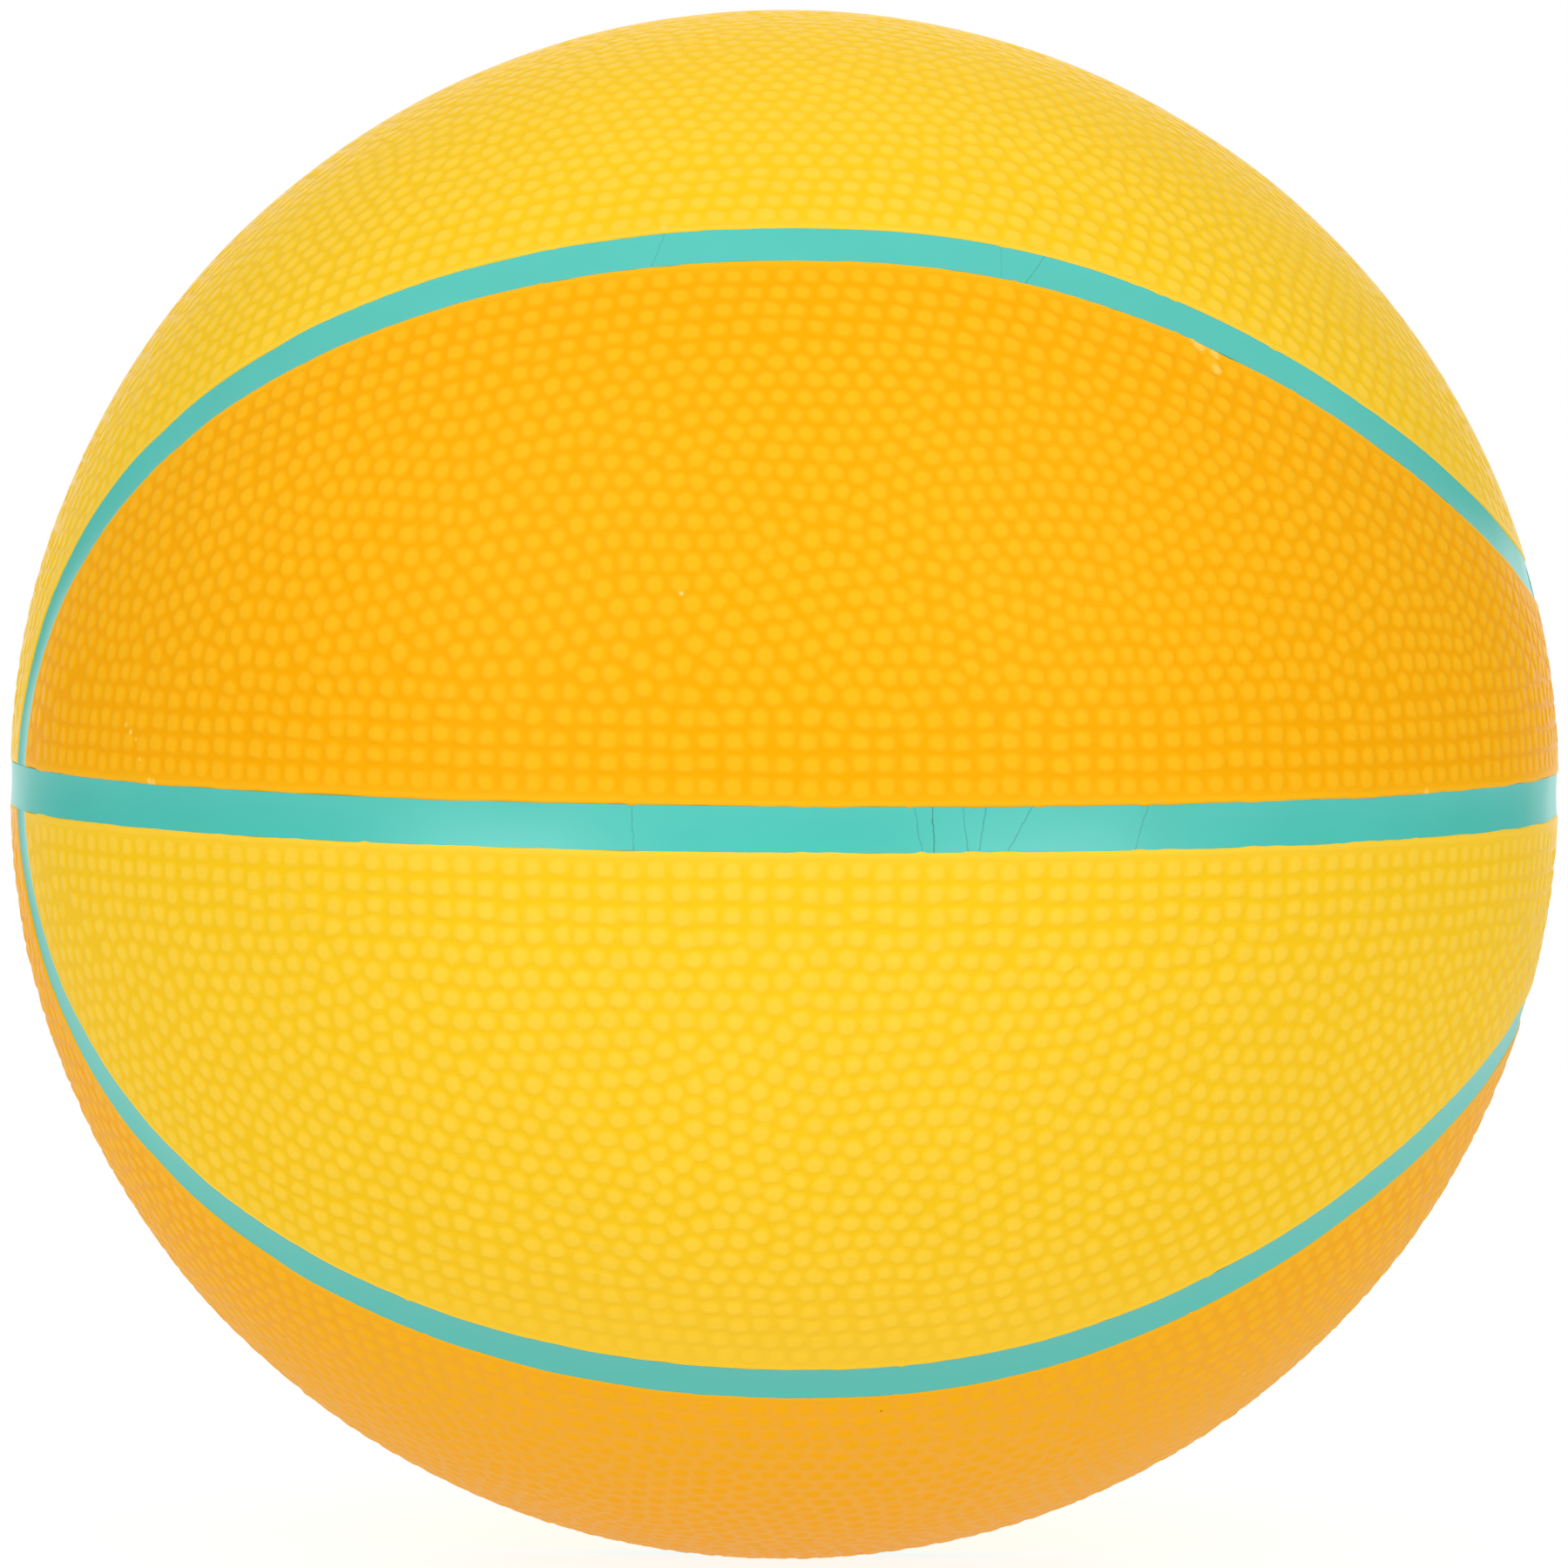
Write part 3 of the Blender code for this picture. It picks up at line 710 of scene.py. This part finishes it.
def mix_colour(nodes, links, factor, low, high):
    mix = nodes.new("ShaderNodeMix")
    mix.data_type = "RGBA"
    links.new(factor, mix.inputs["Factor"])
    for socket, value in (("A", low), ("B", high)):
        target = [s for s in mix.inputs if s.name == socket and s.type == "RGBA"][0]
        if hasattr(value, "links") or hasattr(value, "is_linked"):
            links.new(value, target)
        else:
            target.default_value = (*value, 1.0)
    return [s for s in mix.outputs if s.type == "RGBA"][0]


def calculated(nodes, links, operation, *values):
    """A math node on some values, each a socket or a number."""
    node = nodes.new("ShaderNodeMath")
    node.operation = operation
    for socket, value in zip(node.inputs, values):
        if hasattr(value, "is_linked"):
            links.new(value, socket)
        else:
            socket.default_value = value
    return node.outputs["Value"]


def noise(nodes, links, place, pattern):
    scale, detail = pattern
    cloud = nodes.new("ShaderNodeTexNoise")
    cloud.inputs["Scale"].default_value = scale
    cloud.inputs["Detail"].default_value = detail
    links.new(place, cloud.inputs["Vector"])
    return cloud.outputs["Fac"]


def ramp(nodes, links, value, span, high=1.0, low=0.0, kind="SMOOTHSTEP"):
    """A factor that goes from low to high while the value goes from one end of the span to the other."""
    change = nodes.new("ShaderNodeMapRange")
    change.interpolation_type = kind
    change.inputs["From Min"].default_value = span[0]
    change.inputs["From Max"].default_value = span[1]
    change.inputs["To Min"].default_value = low
    change.inputs["To Max"].default_value = high
    links.new(value, change.inputs["Value"])
    return change.outputs["Result"]


def place_on_piece(nodes, links):
    """The place in the piece's own coordinates, whole and as its three axes."""
    place = nodes.new("ShaderNodeTexCoord").outputs["Object"]
    axes = nodes.new("ShaderNodeSeparateXYZ")
    links.new(place, axes.inputs["Vector"])
    return place, axes.outputs


def stored_value(nodes, name):
    stored = nodes.new("ShaderNodeAttribute")
    stored.attribute_name = name
    return stored.outputs["Fac"]


def scattered_dots(nodes, links, place, pattern):
    """Small soft dots in some cells of a scattered pattern, as a factor from 0 to 1."""
    scale, size, rarity = pattern
    cells = nodes.new("ShaderNodeTexVoronoi")
    cells.inputs["Scale"].default_value = scale
    links.new(place, cells.inputs["Vector"])
    pick = nodes.new("ShaderNodeSeparateColor")
    links.new(cells.outputs["Color"], pick.inputs["Color"])
    chosen = calculated(nodes, links, "GREATER_THAN", pick.outputs["Red"], rarity)
    wide = calculated(nodes, links, "MULTIPLY", pick.outputs["Green"], size)
    away = calculated(nodes, links, "DIVIDE", cells.outputs["Distance"], wide)
    inside = calculated(nodes, links, "SUBTRACT", 1.0, away)
    inside.node.use_clamp = True
    return calculated(nodes, links, "MULTIPLY", chosen, inside)


def placed_chips(nodes, links, place):
    """Pale chips with ragged outlines at their own places, as a factor from 0 to 1."""
    ragged = noise(nodes, links, place, RAGGED_EDGE)
    total = None
    for azimuth, elevation, radius in CHIPS:
        spot = direction(np.array(math.radians(azimuth)), np.array(math.radians(elevation))) * BALL_RADIUS
        apart = nodes.new("ShaderNodeVectorMath")
        apart.operation = "DISTANCE"
        links.new(place, apart.inputs[0])
        apart.inputs[1].default_value = tuple(float(c) for c in spot)
        uneven = calculated(nodes, links, "MULTIPLY_ADD", ragged, radius, apart.outputs["Value"])
        edge = [radius * share for share in CHIP_EDGE]
        chip = ramp(nodes, links, uneven, edge, CHIP_STRENGTH, kind="LINEAR")
        total = chip if total is None else calculated(nodes, links, "MAXIMUM", total, chip)
    return total


def rubber_material(name, top, valley, reflection_colour):
    """Rubber pale on the pebbles and deeper in the valleys, the deeper valleys being painted shade, and
    the other way on the underside, a painted reflection of the floor.
    """
    material, nodes, links = new_material(name)
    shader = nodes["Principled BSDF"]
    place, axes = place_on_piece(nodes, links)
    depth = stored_value(nodes, "spot")
    raised = nodes.new("ShaderNodeBump")
    raised.inputs["Strength"].default_value = BUMP_STRENGTH
    raised.inputs["Distance"].default_value = BUMP_DISTANCE
    links.new(ramp(nodes, links, depth, FLANK_RANGE), raised.inputs["Height"])
    links.new(raised.outputs["Normal"], shader.inputs["Normal"])
    cloud = noise(nodes, links, place, RUBBER_CLOUD)
    shade = stored_value(nodes, "shade")
    uneven = calculated(nodes, links, "MULTIPLY_ADD", shade, SHADE_SHARE, cloud)
    tone = mix_colour(nodes, links, uneven, tuple(DEEPEST_PEBBLE * c for c in top), top)
    # Painted reflection of the floor on the underside: the valleys turn pale and the tops take the valley
    # colour
    underside = ramp(nodes, links, axes["Z"], UNDERSIDE, UNDERSIDE_STRENGTH)
    low = mix_colour(nodes, links, underside, valley, reflection_colour)
    high = mix_colour(nodes, links, underside, tone, valley)
    # Painted shade: deeper colour in the valleys, paler on the pebbles' tops
    base = mix_colour(nodes, links, ramp(nodes, links, depth, TONE_RANGE), low, high)
    base = mix_colour(nodes, links, scattered_dots(nodes, links, place, SCUFF_DOTS), base, PALE_SCUFF)
    base = mix_colour(nodes, links, placed_chips(nodes, links, place), base, PALE_CHIP)
    base = mix_colour(nodes, links, scattered_dots(nodes, links, place, SPECK_DOTS), base, DARK_SPECK)
    links.new(base, shader.inputs["Base Color"])
    shader.inputs["Roughness"].default_value = RUBBER_ROUGHNESS
    shader.inputs["Specular IOR Level"].default_value = RUBBER_GLOSS
    shader.inputs["Sheen Weight"].default_value = SHEEN_WEIGHT
    shader.inputs["Sheen Roughness"].default_value = SHEEN_ROUGHNESS
    shader.inputs["Sheen Tint"].default_value = SHEEN_TINT
    return material


def ring_height(azimuth):
    """Height of the ring's middle, and how much its width rises."""
    return 0.0, SEAM_WIDTH


def loop_height(azimuth):
    """Height of the upper loop's middle at an azimuth, and how much its width rises there."""
    turn = np.array([math.acos(-azimuth / LEFT_LENGTH) if azimuth < 0 else azimuth + math.pi / 2])
    height = float(loop_point(turn)[0, 2])
    return height * BALL_RADIUS, SEAM_WIDTH * math.sqrt(1 - height**2)


def strip_material(name, cracks, middle_height):
    """Teal paint, deeper on the underside as painted shade, with fine cracks that run across the strip."""
    material, nodes, links = new_material(name)
    shader = nodes["Principled BSDF"]
    place, axes = place_on_piece(nodes, links)
    cloud = noise(nodes, links, place, STRIP_CLOUD)
    base = mix_colour(nodes, links, cloud, TEAL_DEEP, TEAL_PAINT)
    # Painted shade: the teal turns deeper towards the underside
    base = mix_colour(nodes, links, ramp(nodes, links, axes["Z"], TEAL_UNDERSIDE), base, TEAL_PAINTED_SHADE)
    backwards = calculated(nodes, links, "MULTIPLY", axes["Y"], -1.0)
    azimuth = calculated(nodes, links, "ARCTAN2", axes["X"], backwards)
    wobble = noise(nodes, links, place, FINE_WOBBLE)
    bent = calculated(nodes, links, "MULTIPLY_ADD", wobble, CRACK_WOBBLE, azimuth)
    for upper, lower, strength in cracks:
        azimuth_here = math.radians(upper + lower) / 2
        height, rise = middle_height(azimuth_here)
        lean = math.radians(upper - lower) / rise
        middle = azimuth_here + CRACK_WOBBLE / 2 - lean * height
        line = calculated(nodes, links, "MULTIPLY_ADD", axes["Z"], -lean, bent)
        apart = calculated(nodes, links, "SUBTRACT", line, middle)
        away = calculated(nodes, links, "ABSOLUTE", apart)
        crack = ramp(nodes, links, away, (CRACK_WIDTH / BALL_RADIUS, 0.0), strength, kind="LINEAR")
        base = mix_colour(nodes, links, crack, base, TEAL_CRACK)
    links.new(base, shader.inputs["Base Color"])
    shader.inputs["Roughness"].default_value = STRIP_ROUGHNESS
    shader.inputs["Specular IOR Level"].default_value = STRIP_GLOSS
    return material


def plain_material(name, colour, roughness):
    material, nodes, links = new_material(name)
    shader = nodes["Principled BSDF"]
    place, _ = place_on_piece(nodes, links)
    cloud = noise(nodes, links, place, PLAIN_CLOUD)
    base = mix_colour(nodes, links, cloud, tuple(DEEPEST_PLAIN * c for c in colour), colour)
    links.new(base, shader.inputs["Base Color"])
    shader.inputs["Roughness"].default_value = roughness
    return material


def declare(piece, node):
    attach(piece, "root")
    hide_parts(node)


def across(v):
    """Distance from a strip's middle at a share of its width, which reaches a little under both lips."""
    return (v - 0.5) * (SEAM_WIDTH + STRIP_OVERLAP)


def shape_strip(piece, surface):
    shares = coordinates(piece)[:, :2] + 0.5
    u = shares[:, 0]
    v = shares[:, 1]
    points = surface(u, v)
    hollow = SEAM_HOLLOW * (1 - (2 * v - 1) ** 2)
    radius = BALL_RADIUS - SEAM_DEPTH - hollow + ripple(points, STRIP_WAVE)
    set_coordinates(piece, points * radius[:, None])


def thicken_strip(piece):
    """Joins the ends of a closed strip and draws its back and walls inwards."""
    select_only(piece)
    bpy.ops.object.mode_set(mode="EDIT")
    bpy.ops.mesh.select_all(action="SELECT")
    bpy.ops.mesh.remove_doubles(threshold=DOUBLES_LIMIT)
    bpy.ops.object.mode_set(mode="OBJECT")
    draw_inwards(piece)
    face_outwards()
    bpy.ops.object.shade_smooth_by_angle(angle=STRIP_SMOOTH_ANGLE)
    part_hidden_faces(piece)


def equator_surface(u, v):
    return direction(2 * math.pi * u, across(v) / BALL_RADIUS)


def meridian_surface(u, v):
    return meridian_edge(u, across(v))


def loop_surface(u, v):
    distances = across(v)
    levels = np.unique(np.round(distances, 9))
    spans = np.array([loop_span(d) for d in levels])
    start = np.interp(distances, levels, spans[:, 0])
    end = np.interp(distances, levels, spans[:, 1])
    return loop_edge(start + u * (end - start), distances)


def mirror_below(piece):
    """Puts an upper piece below the equator, with its faces turned outwards again."""
    set_coordinates(piece, coordinates(piece) * np.array((1, 1, -1)))
    select_only(piece)
    bpy.ops.object.mode_set(mode="EDIT")
    bpy.ops.mesh.select_all(action="SELECT")
    bpy.ops.mesh.flip_normals()
    bpy.ops.object.mode_set(mode="OBJECT")


FRONT_AND_BACK = {"front": (1, 1, 1), "back": (-1, -1, 1)}

yellow = rubber_material("yellow_rubber", YELLOW_TOP, YELLOW_VALLEY, YELLOW_PAINTED_REFLECTION)
orange = rubber_material("orange_rubber", ORANGE_TOP, ORANGE_VALLEY, ORANGE_PAINTED_REFLECTION)
teal = strip_material("teal_strip_paint", (), ring_height)
teal_ring = strip_material("teal_ring_paint", CRACKS, ring_height)
teal_loop = strip_material("teal_loop_paint", LOOP_CRACKS, loop_height)
colours = {
    ("front_upper", "inner"): "orange_rubber",
    ("front_upper", "outer"): "yellow_rubber",
    ("front_lower", "inner"): "yellow_rubber",
    ("front_lower", "outer"): "orange_rubber",
    ("back_upper", "inner"): "yellow_rubber",
    ("back_upper", "outer"): "orange_rubber",
    ("back_lower", "inner"): "orange_rubber",
    ("back_lower", "outer"): "yellow_rubber",
}
materials = {"yellow_rubber": yellow, "orange_rubber": orange}

for kind, surface, cells in (
    ("inner", inner_panel_directions, INNER_GRID),
    ("outer", outer_panel_directions, OUTER_GRID),
):
    for half in ("upper", "lower"):
        master = new_grid(f"cover_{half}_{kind}", cells)
        shape_panel(master, surface, cells, relaxed_pebbles(kind), half)
        masters = {"front": master, "back": master}
        if (half, kind) == ("upper", "inner"):
            masters["back"] = turned_copy(master, "cover_with_hole", (1, 1, 1))
            cut_valve_hole(masters["back"])
        for shaped in set(masters.values()):
            thicken_panel(shaped)
            if half == "lower":
                mirror_below(shaped)
        for side, signs in FRONT_AND_BACK.items():
            slot = colours[(f"{side}_{half}", kind)]
            panel = turned_copy(masters[side], f"pebbled_{side}_{half}_{kind}", signs)
            panel.data.materials.append(materials[slot])
            declare(panel, f"{side}_{half}_{kind}_panel")
        for shaped in set(masters.values()):
            bpy.data.objects.remove(shaped)

ring = new_grid("painted_equator", EQUATOR_GRID)
shape_strip(ring, equator_surface)
thicken_strip(ring)
ring.data.materials.append(teal_ring)
declare(ring, "equator_strip")
for half in ("upper", "lower"):
    for kind, surface, cells, places in (
        ("meridian", meridian_surface, MERIDIAN_GRID, {"": (1, 1, 1)}),
        ("loop", loop_surface, LOOP_GRID, FRONT_AND_BACK),
    ):
        master = new_grid(f"seam_{half}_{kind}", cells)
        shape_strip(master, surface)
        thicken_strip(master)
        if half == "lower":
            mirror_below(master)
        for side, signs in places.items():
            node = f"{side}_{half}_{kind}_strip".lstrip("_")
            strip = turned_copy(master, "painted_" + node, signs)
            strip.data.materials.append(teal_loop if node == "front_upper_loop_strip" else teal)
            declare(strip, node)
        bpy.data.objects.remove(master)

for node, colour, roughness in (
    ("front_carcass_half", (0.12, 0.12, 0.12), 0.8),
    ("back_carcass_half", (0.12, 0.12, 0.12), 0.8),
    ("thread_winding", (0.72, 0.70, 0.62), 0.9),
    ("air_bladder", (0.02, 0.02, 0.02), 0.7),
    ("valve_housing", (0.02, 0.02, 0.02), 0.6),
    ("valve_core", (0.30, 0.16, 0.07), 0.6),
):
    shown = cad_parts[node]
    shown.data.materials.clear()
    shown.data.materials.append(plain_material(node, colour, roughness))

# Floor: lit like grey paper, but as white to the camera as the backdrop, apart from the ball's soft shadow
bpy.ops.object.select_all(action="DESELECT")
bpy.ops.mesh.primitive_plane_add(size=FLOOR_SIZE, location=(0.0, 0.0, -BALL_RADIUS))
floor = bpy.context.object
floor.name = "floor"
floor_material, nodes, links = new_material("floor_paper")
paper = nodes["Principled BSDF"]
paper.inputs["Base Color"].default_value = (FLOOR_GREY, FLOOR_GREY, FLOOR_GREY, 1.0)
paper.inputs["Roughness"].default_value = FLOOR_ROUGHNESS
paper.inputs["Specular IOR Level"].default_value = 0.0
paper.inputs["Emission Color"].default_value = WHITE
paper.inputs["Emission Strength"].default_value = FLOOR_GLOW
glow = nodes.new("ShaderNodeEmission")
glow.inputs["Strength"].default_value = FLOOR_WHITE
shaded = nodes.new("ShaderNodeBsdfDiffuse")
shaded.inputs["Color"].default_value = (FLOOR_SHADED, FLOOR_SHADED, FLOOR_SHADED, 1.0)
seen = nodes.new("ShaderNodeAddShader")
links.new(glow.outputs["Emission"], seen.inputs[0])
links.new(shaded.outputs["BSDF"], seen.inputs[1])
rays = nodes.new("ShaderNodeLightPath")
seen_or_lit = nodes.new("ShaderNodeMixShader")
links.new(rays.outputs["Is Camera Ray"], seen_or_lit.inputs["Fac"])
links.new(paper.outputs["BSDF"], seen_or_lit.inputs[1])
links.new(seen.outputs["Shader"], seen_or_lit.inputs[2])
links.new(seen_or_lit.outputs["Shader"], nodes["Material Output"].inputs["Surface"])
floor.data.materials.append(floor_material)

# Surroundings: a bright sky, a brighter sheet behind the ball, and plain white for the camera
world = bpy.data.worlds.new("studio")
scene.world = world
world.use_nodes = True
nodes = world.node_tree.nodes
links = world.node_tree.links
way = nodes.new("ShaderNodeTexCoord")
axes = nodes.new("ShaderNodeSeparateXYZ")
links.new(way.outputs["Generated"], axes.inputs["Vector"])
sky = ramp(nodes, links, axes.outputs["Z"], SKY_RANGE, SKY_LIGHT, SIDE_LIGHT)
sheet = ramp(nodes, links, axes.outputs["Y"], BACK_RANGE, BACK_LIGHT)
surroundings = nodes["Background"]
surroundings.inputs["Color"].default_value = WHITE
links.new(calculated(nodes, links, "MAXIMUM", sky, sheet), surroundings.inputs["Strength"])
backdrop = nodes.new("ShaderNodeBackground")
backdrop.inputs["Color"].default_value = WHITE
backdrop.inputs["Strength"].default_value = 1.0
rays = nodes.new("ShaderNodeLightPath")
for_camera = nodes.new("ShaderNodeMixShader")
links.new(rays.outputs["Is Camera Ray"], for_camera.inputs["Fac"])
links.new(surroundings.outputs["Background"], for_camera.inputs[1])
links.new(backdrop.outputs["Background"], for_camera.inputs[2])
links.new(for_camera.outputs["Shader"], nodes["World Output"].inputs["Surface"])

for name, side in (("left_softbox", -1), ("right_softbox", 1)):
    lamp_data = bpy.data.lights.new(name, "AREA")
    lamp_data.shape = "RECTANGLE"
    lamp_data.size = BOX_WIDTH
    lamp_data.size_y = BOX_HEIGHT
    lamp_data.energy = BOX_ENERGY[name]
    lamp = bpy.data.objects.new(name, lamp_data)
    scene.collection.objects.link(lamp)
    lamp.location = Vector(direction(np.array(side * BOX_AZIMUTH), np.array(BOX_ELEVATION))) * BOX_DISTANCE
    lamp.rotation_euler = (-lamp.location).to_track_quat("-Z", "Y").to_euler()

camera_data = bpy.data.cameras.new("camera")
camera_data.lens = CAMERA_LENS
camera_data.sensor_width = CAMERA_SENSOR
camera = bpy.data.objects.new("camera", camera_data)
scene.collection.objects.link(camera)
towards = direction(np.array(0.0), np.array(CAMERA_ELEVATION))
camera.location = Vector(towards) * CAMERA_DISTANCE
look = (-camera.location).to_track_quat("-Z", "Y").to_matrix().to_4x4()
camera.matrix_world = Matrix.Translation(camera.location) @ look @ Matrix.Rotation(CAMERA_ROLL, 4, "Z")
scene.camera = camera

scene.view_settings.view_transform = "Standard"
